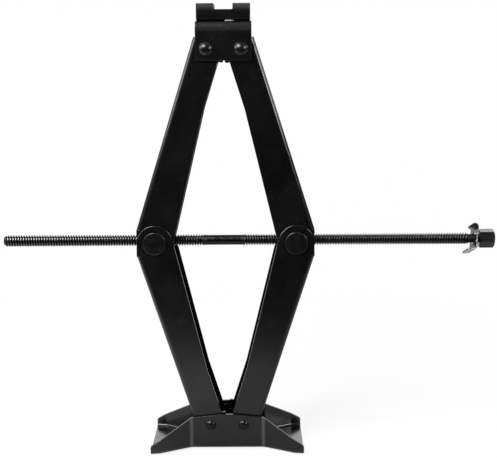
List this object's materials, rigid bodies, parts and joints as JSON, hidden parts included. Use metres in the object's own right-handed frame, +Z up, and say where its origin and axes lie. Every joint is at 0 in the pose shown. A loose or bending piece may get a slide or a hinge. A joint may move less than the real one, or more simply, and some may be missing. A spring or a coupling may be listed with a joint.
{
  "type": "camper stabilizer jack",
  "caption": "Scissor stabilizer jack for a camper: folding geared channel arms on a bow-tie base, lifted by a crossing screw with opposite-handed threads and a hex drive head.",
  "frame": {"origin": "on the ground, under the middle of the base", "axes": "+Z up, +X along the screw towards the hex drive head, -Y the side seen in the picture"},
  "size_m": [0.5604, 0.087, 0.508],
  "materials": {
    "base_enamel": "gloss black enamel on stamped steel",
    "arm_enamel": "gloss black enamel on stamped steel",
    "saddle_enamel": "gloss black enamel on stamped steel",
    "trunnion_enamel": "gloss black enamel, peened rim",
    "rivet_enamel": "gloss black enamel on domed rivets",
    "weld_enamel": "black enamel over a weld bead",
    "screw_finish": "black oxide with an oil film on a rolled thread",
    "head_finish": "black oxide",
    "clip_finish": "black oxide spring steel",
    "spacer_steel": "bare turned steel"
  },
  "bodies": {
    "base": {"base_plate": "base_enamel", "left_base_rivet": "rivet_enamel", "right_base_rivet": "rivet_enamel", "left_base_spacer": "spacer_steel", "right_base_spacer": "spacer_steel"},
    "left_lower_arm": {"left_lower_arm": "arm_enamel"},
    "right_lower_arm": {"right_lower_arm": "arm_enamel"},
    "left_upper_arm": {"left_upper_arm": "arm_enamel"},
    "right_upper_arm": {"right_upper_arm": "arm_enamel"},
    "left_trunnion": {"left_trunnion_nut": "trunnion_enamel"},
    "right_trunnion": {"right_trunnion_nut": "trunnion_enamel"},
    "clip": {"stop_clip": "clip_finish"},
    "screw": {"drive_screw": "screw_finish", "drive_head": "head_finish"},
    "saddle": {"saddle_bracket": "saddle_enamel", "notched_cradle": "saddle_enamel", "cradle_welds": "weld_enamel", "left_top_rivet": "rivet_enamel", "right_top_rivet": "rivet_enamel", "left_top_spacer": "spacer_steel", "right_top_spacer": "spacer_steel"}
  },
  "joints": [
    {"name": "lift", "type": "hinge", "parent": "base", "child": "left_lower_arm", "pos_m": [-0.019, 0, 0.0292], "axis": [0, 1, 0], "range_deg": [-69, 0]},
    {"name": "right_lower", "type": "hinge", "parent": "base", "child": "right_lower_arm", "pos_m": [0.019, 0, 0.0292], "axis": [0, 1, 0], "range_deg": [0, 69]},
    {"name": "left_trunnion_turn", "type": "hinge", "parent": "left_lower_arm", "child": "left_trunnion", "pos_m": [-0.07985, 0, 0.24426], "axis": [0, 1, 0], "range_deg": [0, 69]},
    {"name": "right_trunnion_turn", "type": "hinge", "parent": "right_lower_arm", "child": "right_trunnion", "pos_m": [0.07985, 0, 0.24426], "axis": [0, 1, 0], "range_deg": [-69, 0]},
    {"name": "left_upper", "type": "hinge", "parent": "left_lower_arm", "child": "left_upper_arm", "pos_m": [-0.07985, 0, 0.24426], "axis": [0, 1, 0], "range_deg": [0, 138]},
    {"name": "right_upper", "type": "hinge", "parent": "right_lower_arm", "child": "right_upper_arm", "pos_m": [0.07985, 0, 0.24426], "axis": [0, 1, 0], "range_deg": [-138, 0]},
    {"name": "saddle_level", "type": "hinge", "parent": "left_upper_arm", "child": "saddle", "pos_m": [-0.019, 0, 0.45931], "axis": [0, 1, 0], "range_deg": [-69, 0]},
    {"name": "screw_feed", "type": "slide", "parent": "right_trunnion", "child": "clip", "axis": [1, 0, 0], "range_m": [-0.162, 0]},
    {"name": "screw_turn", "type": "hinge", "parent": "clip", "child": "screw", "pos_m": [0, 0, 0.24426], "axis": [1, 0, 0], "range_deg": [0, 19410]}
  ],
  "couplings": [
    {"joint": "right_lower", "follows": "lift", "ratio": -1},
    {"joint": "left_trunnion_turn", "follows": "lift", "ratio": -1},
    {"joint": "right_trunnion_turn", "follows": "lift", "ratio": 1},
    {"joint": "left_upper", "follows": "lift", "ratio": -2},
    {"joint": "right_upper", "follows": "lift", "ratio": 2},
    {"joint": "saddle_level", "follows": "lift", "ratio": 1},
    {"joint": "screw_feed", "follows": "lift", "m_per_rad": 0.13429},
    {"joint": "screw_turn", "follows": "lift", "ratio": -281.26}
  ]
}
